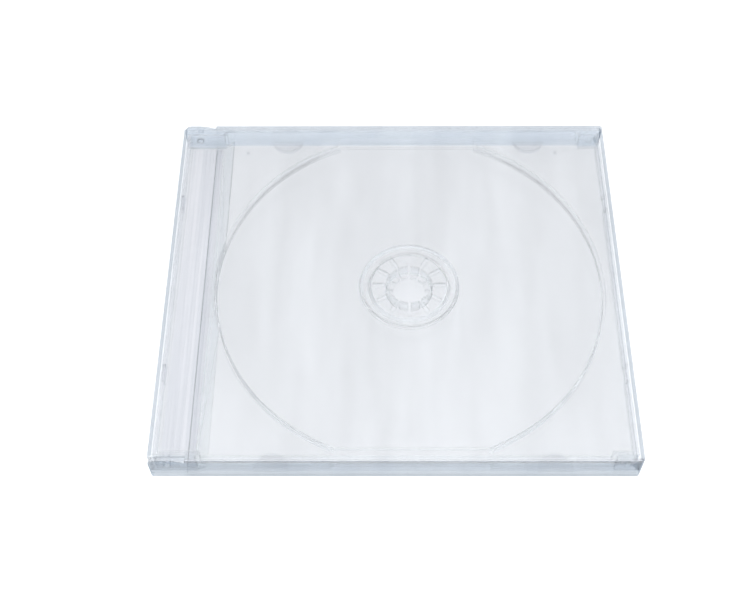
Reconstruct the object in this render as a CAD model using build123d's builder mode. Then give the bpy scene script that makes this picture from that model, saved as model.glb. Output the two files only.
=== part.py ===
from build123d import *
import math
import os

# Clear hinged case for one disc: a base, a snap-in disc tray and a lid, each one moulding.
# X runs along the length from the hinge end to the opening end, Y across and Z up.
# The closed case lies on its lid with the base on top, and the origin is the middle of the
# lid's outer face. The mouldings are drawn with the base below and turned over at the end.
# Sizes are in millimetres.

# Closed case
case_length = 142.0
case_width = 125.0
case_height = 10.4
plan_corner_radius = 1.0
edge_radius = 0.3

# Walls of the base and the lid
panel_wall = 1.2
spine_wall = 1.2
side_wall = 1.2
return_wall = 1.2

# Gaps between the mouldings
closing_gap = 0.1
side_gap = 0.2
end_gap = 0.2
open_gap = 0.2

# Hinge
pin_radius = 1.2
pin_clearance = 0.05
pin_from_end = 5.0
pin_tip_gap = 0.1
pin_chamfer = 0.3
ear_lid_corner_radius = 1.0
ear_base_corner_radius = 2.5

# Returns of the base's spine walls along the sides
hinge_return_length = 13.5
opening_return_length = 7.5

# Half-moon tabs that hold a booklet under the lid
tab_length = 10.4
tab_depth = 4.5
tab_thickness = 0.7
tab_gap = 0.4
booklet_room = 1.3
hinge_tab_from_edge = 24.7
opening_tab_from_end = 24.6

# Round stops for the booklet's edges
stop_radius = 0.6
stop_height = 0.6
hinge_stop_from_edge = 10.9
opening_stop_from_end = 15.3
stop_from_side = 5.0

# Closing nubs on the lid's sides and the dimples that they spring into
nub_radius = 1.0
nub_reach = 0.15
nub_from_end = 4.0
dimple_clearance = 0.2
dimple_depth = 0.3

# Disc tray
tray_wall = 1.0
tray_foot_gap = 0.1
strip_gap = 0.2
strip_length = 11.3
ramp_length = 4.0
under_floor_gap = 2.6
recess_radius = 60.6
recess_chord_cut = 4.4
recess_x = 4.75
recess_top_chamfer = 0.4
recess_foot_round = 0.3
disc_thickness = 1.2
under_disc_gap = 0.4

# Hub that the disc clips onto
seat_outer_radius = 15.1
seat_width = 2.2
hub_slope_width = 0.7
seat_step = 1.0
seat_chamfer = 0.2
disc_bore_radius = 7.5
disc_bore_clearance = 0.06
tooth_rise = 2.4
tooth_chamfer = 0.5
tooth_inner_radius = 5.0
finger_wall = 0.8
finger_count = 12
finger_gap = 0.8
slot_width = 1.3
slot_start_radius = 8.3
slot_end_radius = 11.7

# Catches on the spine walls that hold the tray down
catch_length = 5.0
catch_height = 1.0
catch_reach = 0.5
catch_drop = 1.8
catch_y = 32.0
catch_clearance = 0.3

# Places that follow from the sizes
half_length = case_length / 2
half_width = case_width / 2
hinge_x = -half_length + pin_from_end
hinge_z = case_height / 2
lid_inner_z = case_height - panel_wall
wall_top_z = lid_inner_z - closing_gap
lid_foot_z = panel_wall + closing_gap
lid_inner_y = half_width - side_wall
lid_edge_x = 2 * hinge_x + half_length + open_gap
hinge_tab_x = lid_edge_x + hinge_tab_from_edge
opening_tab_x = half_length - opening_tab_from_end
hinge_stop_x = lid_edge_x + hinge_stop_from_edge
opening_stop_x = half_length - opening_stop_from_end
return_outer_y = lid_inner_y - side_gap
return_inner_y = return_outer_y - return_wall
pin_tip_y = return_inner_y + pin_tip_gap
ear_lid_corner_x = -half_length + ear_lid_corner_radius
ear_base_corner_x = -half_length + ear_base_corner_radius
ear_corner_reach = math.hypot(hinge_x - ear_lid_corner_x, hinge_z - ear_lid_corner_radius)
ear_swing = ear_corner_reach + ear_lid_corner_radius
notch_end_x = hinge_x + math.sqrt(ear_swing**2 - (hinge_z - panel_wall) ** 2) + side_gap
spine_inner_x = half_length - spine_wall
nub_x = half_length - nub_from_end
hinge_return_end_x = -half_length + hinge_return_length
opening_return_end_x = half_length - opening_return_length
tray_end_x = spine_inner_x - end_gap
tray_half_width = lid_inner_y - side_gap
tray_corner_y = return_inner_y - side_gap
strip_end_x = -tray_end_x + strip_length
ramp_end_x = strip_end_x + ramp_length
strip_top_z = lid_inner_z - strip_gap
plateau_z = lid_inner_z - booklet_room - tab_thickness - tab_gap
seat_z = plateau_z - disc_thickness
shelf_z = seat_z - under_disc_gap
tray_foot_z = panel_wall + tray_foot_gap
floor_z = panel_wall + under_floor_gap + tray_wall
tooth_top_z = seat_z + tooth_rise
catch_z = plateau_z - catch_drop
recess_chord_y = recess_radius - recess_chord_cut
seat_inner_radius = seat_outer_radius - seat_width
hub_foot_radius = seat_outer_radius + hub_slope_width
notch_half_length = math.sqrt(recess_radius**2 - recess_chord_y**2)
tooth_radius = disc_bore_radius - disc_bore_clearance


def tray_block(inset, foot_z):
    """Block inside the tray's outer faces, drawn in by the inset and standing on foot_z."""
    with BuildPart() as block:
        with BuildSketch(Plane.XY.offset(foot_z)):
            Rectangle(2 * (tray_end_x - inset), 2 * (tray_corner_y - inset))
            left_x = hinge_return_end_x + side_gap + inset
            right_x = opening_return_end_x - side_gap - inset
            with Locations(((left_x + right_x) / 2, 0)):
                Rectangle(right_x - left_x, 2 * (tray_half_width - inset))
        extrude(amount=case_height)
        with BuildSketch(Plane.XZ):
            with BuildLine():
                Polyline(
                    (-tray_end_x, -case_height),
                    (-tray_end_x, strip_top_z),
                    (strip_end_x, strip_top_z),
                    (ramp_end_x, plateau_z),
                    (tray_end_x, plateau_z),
                    (tray_end_x, -case_height),
                    close=True,
                )
            make_face()
            if inset > 0:
                offset(amount=-inset, kind=Kind.INTERSECTION, mode=Mode.REPLACE)
        extrude(amount=half_width, both=True, mode=Mode.INTERSECT)
    return block.part


def recess_plan(grow):
    """Circle cut off by a straight chord on each side, grown by a wall."""
    with BuildSketch() as plan:
        with Locations((recess_x, 0)):
            Circle(recess_radius + grow)
            Rectangle(
                2 * (recess_radius + grow), 2 * (recess_chord_y + grow), mode=Mode.INTERSECT
            )
    return plan.sketch


def notch_plan(grow):
    """Lowered stretches of the tray's long edges, past the recess's chords."""
    with BuildSketch() as plan:
        with Locations((recess_x, half_width), (recess_x, -half_width)):
            Rectangle(2 * (notch_half_length + grow), 2 * (half_width - recess_chord_y + grow))
    return plan.sketch


# Base: floor panel, spine walls at both ends and their returns along the sides
with BuildPart() as case_base:
    with BuildSketch():
        Rectangle(case_length, case_width)
    extrude(amount=panel_wall)
    fillet(case_base.edges().filter_by(Axis.Z).group_by(Axis.X)[-1], plan_corner_radius)
    with BuildSketch():
        notch_length = notch_end_x + half_length
        notch_depth = half_width - return_outer_y
        with Locations(
            (-half_length + notch_length / 2, half_width - notch_depth / 2),
            (-half_length + notch_length / 2, -half_width + notch_depth / 2),
        ):
            Rectangle(notch_length, notch_depth)
    extrude(amount=panel_wall, mode=Mode.SUBTRACT)
    with BuildSketch(Plane.XY.offset(panel_wall)):
        with Locations((-half_length + spine_wall / 2, 0), (half_length - spine_wall / 2, 0)):
            Rectangle(spine_wall, 2 * return_outer_y)
        for side in (1, -1):
            return_y = side * (return_inner_y + return_outer_y) / 2
            with Locations((-half_length + hinge_return_length / 2, return_y)):
                Rectangle(hinge_return_length, return_wall)
            with Locations((half_length - opening_return_length / 2, return_y)):
                Rectangle(opening_return_length, return_wall)
    extrude(amount=wall_top_z - panel_wall)
    with BuildSketch(Plane.XZ):
        with Locations((hinge_x, hinge_z)):
            Circle(pin_radius + pin_clearance)
    extrude(amount=half_width, both=True, mode=Mode.SUBTRACT)
    for side in (1, -1):
        with BuildSketch(Plane.XZ.offset(side * return_outer_y)):
            with Locations((nub_x, hinge_z)):
                Circle(nub_radius + dimple_clearance)
        extrude(amount=-side * dimple_depth, mode=Mode.SUBTRACT)
    with BuildSketch(Plane.XY.offset(catch_z)):
        for end in (1, -1):
            catch_x = end * (spine_inner_x - catch_reach / 2)
            with Locations((catch_x, catch_y), (catch_x, -catch_y)):
                Rectangle(catch_reach, catch_length)
    extrude(amount=catch_height / 2, both=True)
    fillet(case_base.faces().sort_by(Axis.Z)[0].edges(), edge_radius)

# Room for the disc, rounded along its foot
with BuildPart() as disc_room:
    with BuildSketch(Plane.XY.offset(floor_z)):
        add(recess_plan(0))
    extrude(amount=case_height)
    fillet(disc_room.faces().sort_by(Axis.Z)[0].edges(), recess_foot_round)

# Tray: a thin moulding open underneath, with a round recess, lowered edges and a hub
with BuildPart() as under_tray:
    add(tray_block(tray_wall, 0))
    with BuildSketch(Plane.XY.offset(floor_z - tray_wall)):
        add(recess_plan(tray_wall))
    extrude(amount=case_height, mode=Mode.SUBTRACT)
    with BuildSketch(Plane.XY.offset(shelf_z - tray_wall)):
        add(notch_plan(tray_wall))
    extrude(amount=case_height, mode=Mode.SUBTRACT)

with BuildPart() as disc_tray:
    add(tray_block(0, tray_foot_z))
    add(under_tray.part, mode=Mode.SUBTRACT)
    add(disc_room.part, mode=Mode.SUBTRACT)
    with BuildSketch(Plane.XY.offset(shelf_z)):
        add(notch_plan(0))
    extrude(amount=case_height, mode=Mode.SUBTRACT)
    # Chamfered rim of the recess
    with BuildSketch(Plane.XZ):
        with BuildLine():
            rim_x = recess_x + recess_radius
            Polyline(
                (rim_x, plateau_z - recess_top_chamfer),
                (rim_x, case_height),
                (rim_x + recess_top_chamfer, case_height),
                (rim_x + recess_top_chamfer, plateau_z),
                close=True,
            )
        make_face()
    revolve(axis=Axis((recess_x, 0, 0), (0, 0, 1)), mode=Mode.SUBTRACT)
    with BuildSketch(Plane.XY.offset(floor_z - tray_wall)):
        with Locations((recess_x, 0)):
            Circle(hub_foot_radius)
    extrude(amount=tray_wall, mode=Mode.SUBTRACT)
    # Section of the hub: sloped foot, seat ring, lowered finger ring and hooked teeth
    with BuildSketch(Plane.XZ) as hub_section:
        with BuildLine():
            finger_top_z = seat_z - seat_step
            Polyline(
                (recess_x + hub_foot_radius + tray_wall, floor_z),
                (recess_x + hub_foot_radius, floor_z),
                (recess_x + seat_outer_radius, seat_z),
                (recess_x + seat_inner_radius, seat_z),
                (recess_x + seat_inner_radius - seat_step, finger_top_z),
                (recess_x + tooth_radius, finger_top_z),
                (recess_x + tooth_radius, tooth_top_z - tooth_chamfer),
                (recess_x + tooth_radius - tooth_chamfer, tooth_top_z),
                (recess_x + tooth_inner_radius, tooth_top_z),
                (recess_x + tooth_inner_radius, tooth_top_z - finger_wall),
                (recess_x + tooth_radius - finger_wall, tooth_top_z - finger_wall),
                (recess_x + tooth_radius - finger_wall, finger_top_z - finger_wall),
                (recess_x + seat_inner_radius, finger_top_z - finger_wall),
                (recess_x + seat_outer_radius - tray_wall / 2, seat_z - tray_wall),
                (recess_x + hub_foot_radius - tray_wall / 2, floor_z - tray_wall),
                (recess_x + hub_foot_radius + tray_wall, floor_z - tray_wall),
                close=True,
            )
        make_face()
        seat_corner = (recess_x + seat_outer_radius, seat_z)
        chamfer(hub_section.vertices().sort_by_distance(seat_corner)[0], seat_chamfer)
    revolve(axis=Axis((recess_x, 0, 0), (0, 0, 1)))
    # Gaps between the fingers: narrow between the teeth, then a round-ended slot
    with BuildSketch(Plane.XY.offset(tray_foot_z)):
        with Locations((recess_x, 0)):
            with PolarLocations(0, finger_count):
                with Locations((slot_start_radius / 2, 0)):
                    Rectangle(slot_start_radius, finger_gap)
                slot_run = slot_end_radius - slot_start_radius - slot_width / 2
                with Locations((slot_start_radius + slot_run / 2, 0)):
                    SlotCenterToCenter(slot_run, slot_width)
    extrude(amount=case_height, mode=Mode.SUBTRACT)
    # Windows in the end walls for the base's catches
    for end in (1, -1):
        with BuildSketch(Plane.YZ.offset(end * tray_end_x)):
            with Locations((catch_y, catch_z), (-catch_y, catch_z)):
                window_length = catch_length + 2 * catch_clearance
                window_height = catch_height + 2 * catch_clearance
                Rectangle(window_length, window_height)
        extrude(amount=-end * tray_wall, mode=Mode.SUBTRACT)

# Lid: panel, two sides that end in hinge ears, pins, half-moon tabs and booklet stops
with BuildPart() as front_lid:
    with BuildSketch(Plane.XY.offset(lid_inner_z)):
        with Locations(((lid_edge_x + half_length) / 2, 0)):
            Rectangle(half_length - lid_edge_x, case_width)
    extrude(amount=panel_wall)
    for side in (1, -1):
        with BuildSketch(Plane.XZ.offset(side * (half_width - side_wall / 2))):
            with BuildLine():
                Polyline(
                    (lid_edge_x, lid_foot_z),
                    (half_length, lid_foot_z),
                    (half_length, case_height),
                    (ear_lid_corner_x, case_height),
                )
                RadiusArc(
                    (ear_lid_corner_x, case_height),
                    (-half_length, case_height - ear_lid_corner_radius),
                    -ear_lid_corner_radius,
                )
                Line(
                    (-half_length, case_height - ear_lid_corner_radius),
                    (-half_length, ear_base_corner_radius),
                )
                RadiusArc(
                    (-half_length, ear_base_corner_radius),
                    (ear_base_corner_x, 0),
                    -ear_base_corner_radius,
                )
                Line((ear_base_corner_x, 0), (hinge_x, 0))
                TangentArc((hinge_x, 0), (lid_edge_x, lid_foot_z), tangent=(1, 0))
            make_face()
        extrude(amount=side_wall / 2, both=True)
    opening_end_edges = front_lid.edges().filter_by(Axis.Z).group_by(Axis.X)[-1]
    corner_edges = opening_end_edges.sort_by(Axis.Y)
    fillet([corner_edges[0], corner_edges[-1]], plan_corner_radius)
    for side in (1, -1):
        with BuildSketch(Plane.XZ.offset(side * lid_inner_y)):
            with Locations((hinge_x, hinge_z)):
                Circle(pin_radius)
        extrude(amount=-side * (lid_inner_y - pin_tip_y))
        pin_edges = front_lid.edges(Select.LAST).filter_by(GeomType.CIRCLE)
        chamfer(pin_edges.sort_by_distance((hinge_x, 0, hinge_z))[0], pin_chamfer)
    with BuildSketch(Plane.XY.offset(lid_inner_z - booklet_room)):
        tab_radius = (tab_length**2 / 4 + tab_depth**2) / (2 * tab_depth)
        for side in (1, -1):
            tab_centre_y = side * (lid_inner_y - tab_depth + tab_radius)
            with Locations((hinge_tab_x, tab_centre_y), (opening_tab_x, tab_centre_y)):
                Circle(tab_radius)
        Rectangle(case_length, 2 * lid_inner_y + side_wall, mode=Mode.INTERSECT)
    extrude(amount=-tab_thickness)
    with BuildSketch(Plane.XY.offset(lid_inner_z)):
        stop_y = half_width - stop_from_side
        for stop_x in (hinge_stop_x, opening_stop_x):
            with Locations((stop_x, stop_y), (stop_x, -stop_y)):
                Circle(stop_radius)
    extrude(amount=-stop_height)
    for side in (1, -1):
        with BuildSketch(Plane.XZ.offset(side * lid_inner_y)):
            with Locations((nub_x, hinge_z)):
                Circle(nub_radius)
        extrude(amount=-side * nub_reach)
    top_face = front_lid.faces().filter_by(Axis.Z).group_by(Axis.Z)[-1].sort_by(SortBy.AREA)[-1]
    fillet(top_face.edges().sort_by(SortBy.LENGTH)[-4:], edge_radius)

# Turned over onto the lid's outer face
turning_axis = Axis((0, 0, case_height / 2), (1, 0, 0))
os.makedirs("parts", exist_ok=True)
for name, moulding in (
    ("case_base", case_base.part),
    ("disc_tray", disc_tray.part),
    ("front_lid", front_lid.part),
):
    lying = moulding.rotate(turning_axis, 180)
    lying.label = name
    export_step(lying, f"parts/{name}.step")
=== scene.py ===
import math

import bmesh
import bpy
from mathutils import Matrix, Vector


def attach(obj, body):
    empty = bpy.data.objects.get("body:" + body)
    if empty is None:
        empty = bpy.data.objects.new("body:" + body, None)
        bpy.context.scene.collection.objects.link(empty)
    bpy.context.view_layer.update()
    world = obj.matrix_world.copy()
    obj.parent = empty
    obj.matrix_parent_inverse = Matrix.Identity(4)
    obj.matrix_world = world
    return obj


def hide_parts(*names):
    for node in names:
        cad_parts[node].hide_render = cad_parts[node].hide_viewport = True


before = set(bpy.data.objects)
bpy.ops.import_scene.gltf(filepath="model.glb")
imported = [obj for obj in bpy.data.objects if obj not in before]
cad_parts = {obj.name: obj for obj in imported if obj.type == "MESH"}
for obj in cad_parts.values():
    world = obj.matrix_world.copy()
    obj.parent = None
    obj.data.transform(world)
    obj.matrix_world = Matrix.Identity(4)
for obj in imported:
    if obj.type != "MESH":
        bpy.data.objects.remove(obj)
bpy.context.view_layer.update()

MM = 0.001

# Camera at the photograph's viewing angle
CAMERA_PLACE = Vector((-4.1, -206.2, 319.2)) * MM
CAMERA_PITCH, CAMERA_YAW, CAMERA_ROLL = (math.radians(a) for a in (57.5, -0.55, -0.497))
CAMERA_LENS = 57.06
CLIP_START = 0.01

# Studio: white paper under an overcast room, and one large soft lamp on the near side
FLOOR_SIZE = 4.0
FLOOR_DROP = 0.2 * MM
FLOOR_LIFT = 0.2
PAPER_TINTS = ("#F2F3F4", "#F6F7F8")
PAPER_GRAIN_MM, PAPER_GRAIN_DETAIL = (0.8, 0.8, 0.8), 3.0
ROOM_WALLS, ROOM_CEILING, ROOM_STRENGTH = "#B9BEC5", "#FFFFFF", 0.9
WALLS_HEIGHT, CEILING_HEIGHT = 0.1, 0.95
LAMP_PLACE, LAMP_SIZE, LAMP_ENERGY = Vector((0.12, -0.55, 0.78)), (0.35, 0.25), 6.5
BOUNCES = 20

# How level or upright a face is, from the height of its normal
LEVEL = 0.9
UPRIGHT = 0.1
PLAIN = 0.99999

# Places between the walls' inner and outer faces, and where the panel's rim starts
OUTER_X, OUTER_Y = 69.9 * MM, 61.4 * MM
RIM_X, RIM_Y, RIM_Z = 69.8 * MM, 61.4 * MM, 10 * MM
RIM_PLACES = (Vector((RIM_X, 0, 0)), Vector((-RIM_X, 0, 0)), Vector((0, RIM_Y, 0)))

# Inner ends of the hinge strip and its ramp, and how large the ramp's faces are at least
STRIP_END_X = -58.2 * MM
RAMP_END_X = -54.2 * MM
RAMP_AREA = 20 * MM * MM

# Finish that stands in where a moulding has none of its own for such faces
OTHERWISE = dict(outside="upright", rim="level", strip="level", ramp="slope")

# Joining and shading of the faces
WELD = 0.001 * MM
CREASE = math.radians(30)

# Crystal polystyrene
IOR = 1.59
MELT_FLOW_MM, MELT_FLOW_RANGE = (11, 60, 11), (0.35, 0.65)
RUB_MM, RUB_RANGE, RUB_DETAIL = (6, 2.5, 6), (0.3, 0.7), 5.0
# Colour of the painted highlight on small rounds
PAINTED_HIGHLIGHT_COLOUR = "#F4F7FA"
OUTER_SHADE = "#FAFBFB"
TRAY_SHADE = "#FFFFFF"

# Lens-polished outer panels, almost invisible, with wide faint waves in what lies beneath
OUTER_PANEL = dict(
    clear="#FCFCFD", cloudy="#FAFAFB", straight=0.75, polish=(0.01, 0.03),
    ripple_mm=(9, 25, 9), ripple_height_mm=0.01, shade=OUTER_SHADE,
)
# The tray's floor and ledges, the clearest faces, which hardly dim the paper behind them
TRAY_PANEL = dict(
    clear="#FFFFFF", cloudy="#FDFDFD", straight=0.9, polish=(0.01, 0.03),
    ripple_mm=(9, 25, 9), ripple_height_mm=0.01, shade=TRAY_SHADE,
)
# Finely fluted strip along the hinge, greyer than the rest and streaked along its length
RIBBED_STRIP = dict(
    clear="#F8F8FA", cloudy="#EEEFF2", straight=0.6, polish=(0.02, 0.05),
    ripple_mm=(0.8, 60, 9), ripple_height_mm=0.03, shade=TRAY_SHADE, flow_mm=(0.9, 90, 9),
)
# Smooth slope beside the strip, a cool grey band
RAMP = dict(
    clear="#FBFCFC", cloudy="#F9FAFB", straight=0.8, polish=(0.02, 0.05),
    ripple_mm=(4, 20, 4), ripple_height_mm=0.005, shade=TRAY_SHADE,
)
# Outside of the lid's sides, the darkest and bluest face through painted shade in its tint, which
# faintly mirrors the paper
LID_SIDE_PAINTED_SHADE = dict(
    clear="#CCD3DA", cloudy="#C7CFD7", straight=0.85, polish=(0.03, 0.08),
    ripple_mm=(20, 20, 1.2), ripple_height_mm=0.01, shade=OUTER_SHADE, sheen=0.08,
)
# Inside of the lid's sides, as clear as the panels
LID_WALL = dict(
    clear="#FBFCFE", cloudy="#F9FAFD", straight=0.85, polish=(0.03, 0.08),
    ripple_mm=(20, 20, 1.2), ripple_height_mm=0.01, shade=OUTER_SHADE,
)
# The panel's rim above the end walls and the far side, tinted greyer as painted shade where one looks
# down into them
RIM_PAINTED_SHADE = dict(
    clear="#CBD0D6", cloudy="#C6CBD1", straight=0.75, polish=(0.02, 0.05),
    ripple_mm=(9, 25, 9), ripple_height_mm=0.01, shade=OUTER_SHADE,
)
# The base's end walls, returns and panel edges, drawn upright from the mould
BASE_WALL = dict(
    clear="#F8F9FB", cloudy="#F5F7F9", straight=0.6, polish=(0.03, 0.08),
    ripple_mm=(1.5, 1.5, 12), ripple_height_mm=0.01, shade=OUTER_SHADE,
)
# The tray's upright walls, slots and teeth, with a little painted highlight
TRAY_WALL = dict(
    clear="#FDFEFE", cloudy="#FBFCFD", straight=0.85, polish=(0.03, 0.08),
    ripple_mm=(1.5, 1.5, 12), ripple_height_mm=0.01, shade=TRAY_SHADE, painted_highlight=0.05,
)
# Rounded outer edges of the base and the lid, thin cool lines round the outline, drawn by painted
# shade in their tint and a little painted highlight
OUTER_EDGE_PAINTED_SHADE_AND_HIGHLIGHT = dict(
    clear="#E2E7EC", cloudy="#DCE2E8", straight=0.5, polish=(0.02, 0.05),
    ripple_mm=(4, 4, 4), ripple_height_mm=0.005, shade=OUTER_SHADE, painted_highlight=0.1,
)
# The tray's chamfers and rounds, whose painted highlight draws the recess and the hub as pale lines
TRAY_EDGE_PAINTED_HIGHLIGHT = dict(
    clear="#FAFBFC", cloudy="#F8F9FB", straight=0.6, polish=(0.02, 0.05),
    ripple_mm=(4, 4, 4), ripple_height_mm=0.005, shade=TRAY_SHADE, painted_highlight=0.35,
)


def linear(hex_colour):
    """sRGB hex to the linear colour that a shader socket takes, with alpha 1."""
    parts = [int(hex_colour[i : i + 2], 16) / 255 for i in (1, 3, 5)]
    parts = [p / 12.92 if p <= 0.04045 else ((p + 0.055) / 1.055) ** 2.4 for p in parts]
    return (*parts, 1.0)


def add_node(tree, kind, settings=None, **inputs):
    """One node with its settings, socket values and links. _0 names a socket by its number."""
    node = tree.nodes.new(kind)
    for name, value in (settings or {}).items():
        setattr(node, name, value)
    for name, value in inputs.items():
        key = int(name[1:]) if name.startswith("_") else name.replace("_", " ")
        if isinstance(value, bpy.types.NodeSocket):
            tree.links.new(value, node.inputs[key])
        else:
            node.inputs[key].default_value = value
    return node


def maths(tree, operation, one, other):
    """Result of one operation on two numbers, each a plain value or a socket."""
    return add_node(tree, "ShaderNodeMath", {"operation": operation}, _0=one, _1=other).outputs[0]


def blend(tree, share, first, second):
    """Shader that is the first where share is 0 and the second where it is 1."""
    return add_node(tree, "ShaderNodeMixShader", _0=share, _1=first, _2=second).outputs[0]


def tint_between(tree, share, first, second):
    """Colour that is the first hex where share is 0 and the second where it is 1."""
    mix = add_node(
        tree, "ShaderNodeMix", {"data_type": "RGBA"},
        Factor=share, _6=linear(first), _7=linear(second),
    )
    return mix.outputs[2]


def stretched(tree, value, low, high, to_low=0.0, to_high=1.0):
    """The value with the range from low to high spread over a new range."""
    spread = add_node(
        tree, "ShaderNodeMapRange",
        Value=value, From_Min=low, From_Max=high, To_Min=to_low, To_Max=to_high,
    )
    return spread.outputs[0]


def uneven(tree, spacing_mm, detail=2.0):
    """Soft unevenness around 0.5 with the given spacing along X, Y and Z."""
    place = add_node(tree, "ShaderNodeTexCoord").outputs["Object"]
    scale = tuple(1 / (size * MM) for size in spacing_mm)
    spread = add_node(tree, "ShaderNodeMapping", Vector=place, Scale=scale).outputs[0]
    noise = add_node(tree, "ShaderNodeTexNoise", Vector=spread, Scale=1.0, Detail=detail)
    return noise.outputs["Fac"]


def new_tree(name):
    """New material and its empty node tree."""
    material = bpy.data.materials.new(name)
    material.use_nodes = True
    material.node_tree.nodes.clear()
    return material, material.node_tree


def clear_polystyrene(
    name, clear, cloudy, straight, polish, ripple_mm, ripple_height_mm, shade,
    painted_highlight=0.0, flow_mm=MELT_FLOW_MM, sheen=0.0,
):
    """Injection-moulded crystal polystyrene.

    clear and cloudy are the tints that light takes on at one face, between which the flow of the
    melt wanders; where a finish's tints are darker than the panels', they hold painted shade.
    straight is the share of the view that goes in and out of a thin wall unbent.
    polish is the roughness where the mould was best and worst polished. shade tints the light
    that reaches the paper. painted_highlight is the share of white matt coat painted on a face
    as a highlight, so that small rounds read as pale lines.
    sheen is the share of a face's outside that mirrors what lies before it.
    """
    material, tree = new_tree(name)
    flow = stretched(tree, uneven(tree, flow_mm), *MELT_FLOW_RANGE)
    tint = tint_between(tree, flow, cloudy, clear)
    rough = stretched(tree, uneven(tree, RUB_MM, RUB_DETAIL), *RUB_RANGE, *polish)
    ripple = add_node(
        tree, "ShaderNodeBump",
        Height=uneven(tree, ripple_mm), Distance=ripple_height_mm * MM, Strength=1.0,
    )
    plastic = add_node(
        tree, "ShaderNodeBsdfPrincipled",
        Base_Color=tint, Roughness=rough, IOR=IOR, Transmission_Weight=1.0, Normal=ripple.outputs[0],
    )
    film = add_node(tree, "ShaderNodeBsdfTransparent", Color=tint)
    glow = add_node(tree, "ShaderNodeBsdfDiffuse", Color=linear(PAINTED_HIGHLIGHT_COLOUR))
    to_paper = add_node(tree, "ShaderNodeBsdfTransparent", Color=linear(shade))
    path = add_node(tree, "ShaderNodeLightPath")
    inside = add_node(tree, "ShaderNodeNewGeometry").outputs["Backfacing"]
    unbent = maths(tree, "MAXIMUM", inside, straight)
    unbent = maths(tree, "MULTIPLY", unbent, path.outputs["Is Camera Ray"])
    mirror = add_node(tree, "ShaderNodeBsdfGlossy", Roughness=rough)
    mirrored = maths(tree, "MULTIPLY", maths(tree, "SUBTRACT", 1.0, inside), sheen)
    seen = blend(tree, unbent, plastic.outputs[0], film.outputs[0])
    seen = blend(tree, mirrored, seen, mirror.outputs[0])
    # Painted highlight: a share of white matt coat that makes small rounds read as pale lines
    seen = blend(tree, painted_highlight, seen, glow.outputs[0])
    whole = blend(tree, path.outputs["Is Shadow Ray"], seen, to_paper.outputs[0])
    add_node(tree, "ShaderNodeOutputMaterial", Surface=whole)
    return material


def finish_for(face):
    """Name of the finish that a face takes, by its slope and its place."""
    rise = abs(face.normal.z)
    middle = face.calc_center_median()
    reach = max(vert.co.x for vert in face.verts)
    if rise < UPRIGHT:
        outer = abs(middle.x) > OUTER_X or abs(middle.y) > OUTER_Y
        return "outside" if outer else "upright"
    if rise > LEVEL:
        if middle.z > RIM_Z and (abs(middle.x) > RIM_X or middle.y > RIM_Y):
            return "rim"
        return "strip" if reach < STRIP_END_X else "level"
    wide = reach < RAMP_END_X and face.calc_area() > RAMP_AREA
    return "ramp" if wide else "slope"


def cut_top(shape, place):
    """Cut through the uppermost level faces, square to the line from the middle to the place."""
    top = [face for face in shape.faces if face.normal.z > PLAIN and face.verts[0].co.z > RIM_Z]
    edges = dict.fromkeys(edge for face in top for edge in face.edges)
    verts = dict.fromkeys(vert for face in top for vert in face.verts)
    parts = [*top, *edges, *verts]
    bmesh.ops.bisect_plane(shape, geom=parts, plane_co=place, plane_no=place.normalized())


def moulding(node_name, body, **finishes):
    """The node's own form with its faces joined, each in the finish for its slope and place.

    An edge is smooth where its faces meet at less than a crease and both of them, or neither,
    are square to an axis, so rounds are shaded as one and flat faces stay flat beside them.
    """
    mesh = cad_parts[node_name].data.copy()
    mesh.name = node_name + "_moulding"
    mesh.materials.clear()
    for finish in finishes.values():
        mesh.materials.append(finish)
    shape = bmesh.new()
    shape.from_mesh(mesh)
    bmesh.ops.remove_doubles(shape, verts=shape.verts, dist=WELD)
    if "rim" in finishes:
        for place in RIM_PLACES:
            cut_top(shape, place)
    names = list(finishes)
    for face in shape.faces:
        name = finish_for(face)
        face.material_index = names.index(name if name in names else OTHERWISE[name])
        face.smooth = True
    for edge in shape.edges:
        one, other = edge.link_faces
        plain = [max(abs(part) for part in face.normal) > PLAIN for face in (one, other)]
        edge.smooth = one.normal.angle(other.normal) < CREASE and plain[0] == plain[1]
    shape.to_mesh(mesh)
    shape.free()
    piece = bpy.data.objects.new(node_name + "_moulding", mesh)
    bpy.context.scene.collection.objects.link(piece)
    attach(piece, body)
    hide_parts(node_name)


def set_camera():
    """Camera that looks down at the near side, turned by its yaw, pitch and roll."""
    ahead = Vector((
        math.sin(CAMERA_YAW) * math.cos(CAMERA_PITCH),
        math.cos(CAMERA_YAW) * math.cos(CAMERA_PITCH),
        -math.sin(CAMERA_PITCH),
    ))
    level = Vector((math.cos(CAMERA_YAW), -math.sin(CAMERA_YAW), 0))
    up = level.cross(ahead)
    right = math.cos(CAMERA_ROLL) * level + math.sin(CAMERA_ROLL) * up
    top = math.cos(CAMERA_ROLL) * up - math.sin(CAMERA_ROLL) * level
    camera = bpy.data.objects.new("camera", bpy.data.cameras.new("camera"))
    camera.data.lens = CAMERA_LENS
    camera.data.clip_start = CLIP_START
    camera.matrix_world = Matrix((right, top, -ahead)).transposed().to_4x4()
    camera.location = CAMERA_PLACE
    bpy.context.scene.collection.objects.link(camera)
    bpy.context.scene.camera = camera


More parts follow.
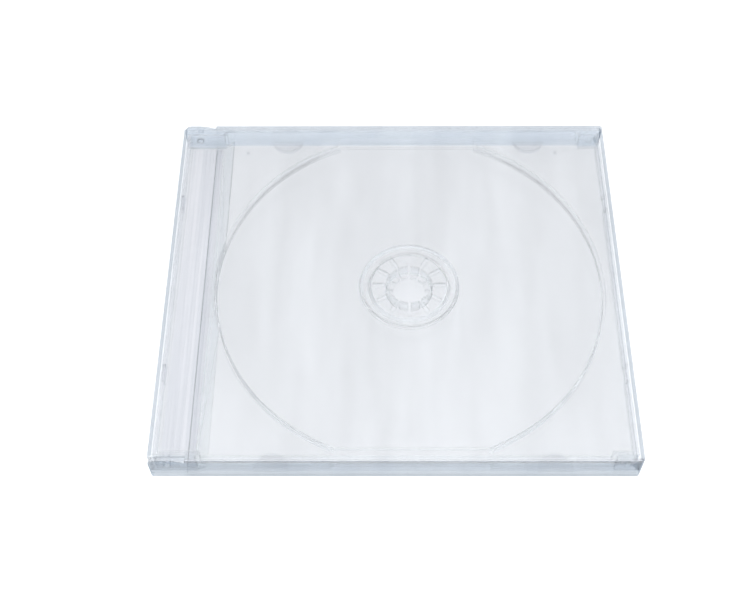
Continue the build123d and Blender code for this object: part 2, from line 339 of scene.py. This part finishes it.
def paper_floor():
    """Matt white paper. What the camera sees of it, also through the plastic, is lifted to white."""
    paper, tree = new_tree("matt_white_paper")
    grain = uneven(tree, PAPER_GRAIN_MM, PAPER_GRAIN_DETAIL)
    fibres = tint_between(tree, grain, *PAPER_TINTS)
    sheet = add_node(tree, "ShaderNodeBsdfDiffuse", Color=fibres)
    path = add_node(tree, "ShaderNodeLightPath").outputs
    seen = maths(tree, "MAXIMUM", path["Is Camera Ray"], path["Is Transmission Ray"])
    seen = maths(tree, "MAXIMUM", seen, path["Is Glossy Ray"])
    lift = maths(tree, "MULTIPLY", seen, FLOOR_LIFT)
    glow = add_node(tree, "ShaderNodeEmission", Color=(1, 1, 1, 1), Strength=lift)
    both = add_node(tree, "ShaderNodeAddShader", _0=sheet.outputs[0], _1=glow.outputs[0])
    add_node(tree, "ShaderNodeOutputMaterial", Surface=both.outputs[0])

    mesh = bpy.data.meshes.new("floor")
    shape = bmesh.new()
    bmesh.ops.create_grid(shape, x_segments=1, y_segments=1, size=FLOOR_SIZE)
    shape.to_mesh(mesh)
    shape.free()
    mesh.materials.append(paper)
    floor = bpy.data.objects.new("floor", mesh)
    floor.location.z = -FLOOR_DROP
    bpy.context.scene.collection.objects.link(floor)


def studio_light():
    """A room whose ceiling is brighter than its walls, and one soft lamp above the near side."""
    world = bpy.data.worlds.new("studio")
    bpy.context.scene.world = world
    world.use_nodes = True
    tree = world.node_tree
    tree.nodes.clear()
    where = add_node(tree, "ShaderNodeTexCoord").outputs["Generated"]
    height = add_node(tree, "ShaderNodeSeparateXYZ", Vector=where).outputs["Z"]
    ramp = add_node(tree, "ShaderNodeValToRGB", Fac=height)
    walls, ceiling = ramp.color_ramp.elements
    walls.position, walls.color = WALLS_HEIGHT, linear(ROOM_WALLS)
    ceiling.position, ceiling.color = CEILING_HEIGHT, linear(ROOM_CEILING)
    room = add_node(tree, "ShaderNodeBackground", Color=ramp.outputs["Color"], Strength=ROOM_STRENGTH)
    add_node(tree, "ShaderNodeOutputWorld", Surface=room.outputs[0])

    lamp = bpy.data.lights.new("softbox", "AREA")
    lamp.shape = "RECTANGLE"
    lamp.size, lamp.size_y = LAMP_SIZE
    lamp.energy = LAMP_ENERGY
    holder = bpy.data.objects.new("softbox", lamp)
    holder.visible_glossy = False
    holder.visible_transmission = False
    holder.location = LAMP_PLACE
    holder.rotation_mode = "QUATERNION"
    holder.rotation_quaternion = (-LAMP_PLACE).to_track_quat("-Z", "Y")
    bpy.context.scene.collection.objects.link(holder)


set_camera()
paper_floor()
studio_light()

outer_panel = clear_polystyrene("clear_polystyrene_polished_panel", **OUTER_PANEL)
tray_panel = clear_polystyrene("clear_polystyrene_tray_panel", **TRAY_PANEL)
ribbed_strip = clear_polystyrene("clear_polystyrene_fluted_strip", **RIBBED_STRIP)
ramp_slope = clear_polystyrene("clear_polystyrene_ramp", **RAMP)
# The lid's outer sides carry painted shade in their darker tint
lid_side_painted_shade = clear_polystyrene("clear_polystyrene_lid_side_painted_shade", **LID_SIDE_PAINTED_SHADE)
lid_wall = clear_polystyrene("clear_polystyrene_lid_wall", **LID_WALL)
# The panel's rim band carries painted shade in its grey tint
panel_rim_painted_shade = clear_polystyrene("clear_polystyrene_panel_rim_painted_shade", **RIM_PAINTED_SHADE)
base_wall = clear_polystyrene("clear_polystyrene_base_wall", **BASE_WALL)
tray_wall = clear_polystyrene("clear_polystyrene_tray_wall", **TRAY_WALL)
outer_edge_painted_shade_and_highlight = clear_polystyrene("clear_polystyrene_outer_edge_painted_shade_and_highlight", **OUTER_EDGE_PAINTED_SHADE_AND_HIGHLIGHT)
tray_edge_painted_highlight = clear_polystyrene("clear_polystyrene_tray_edge_painted_highlight", **TRAY_EDGE_PAINTED_HIGHLIGHT)

moulding(
    "case_base", "base", level=outer_panel, upright=base_wall, slope=outer_edge_painted_shade_and_highlight, rim=panel_rim_painted_shade
)
moulding(
    "disc_tray", "base", level=tray_panel, upright=tray_wall, slope=tray_edge_painted_highlight,
    strip=ribbed_strip, ramp=ramp_slope,
)
moulding(
    "front_lid", "lid", level=outer_panel, upright=lid_wall, slope=outer_edge_painted_shade_and_highlight, outside=lid_side_painted_shade
)

bpy.context.scene.view_settings.view_transform = "Standard"
cycles = bpy.context.scene.cycles
cycles.max_bounces = cycles.transmission_bounces = cycles.transparent_max_bounces = BOUNCES
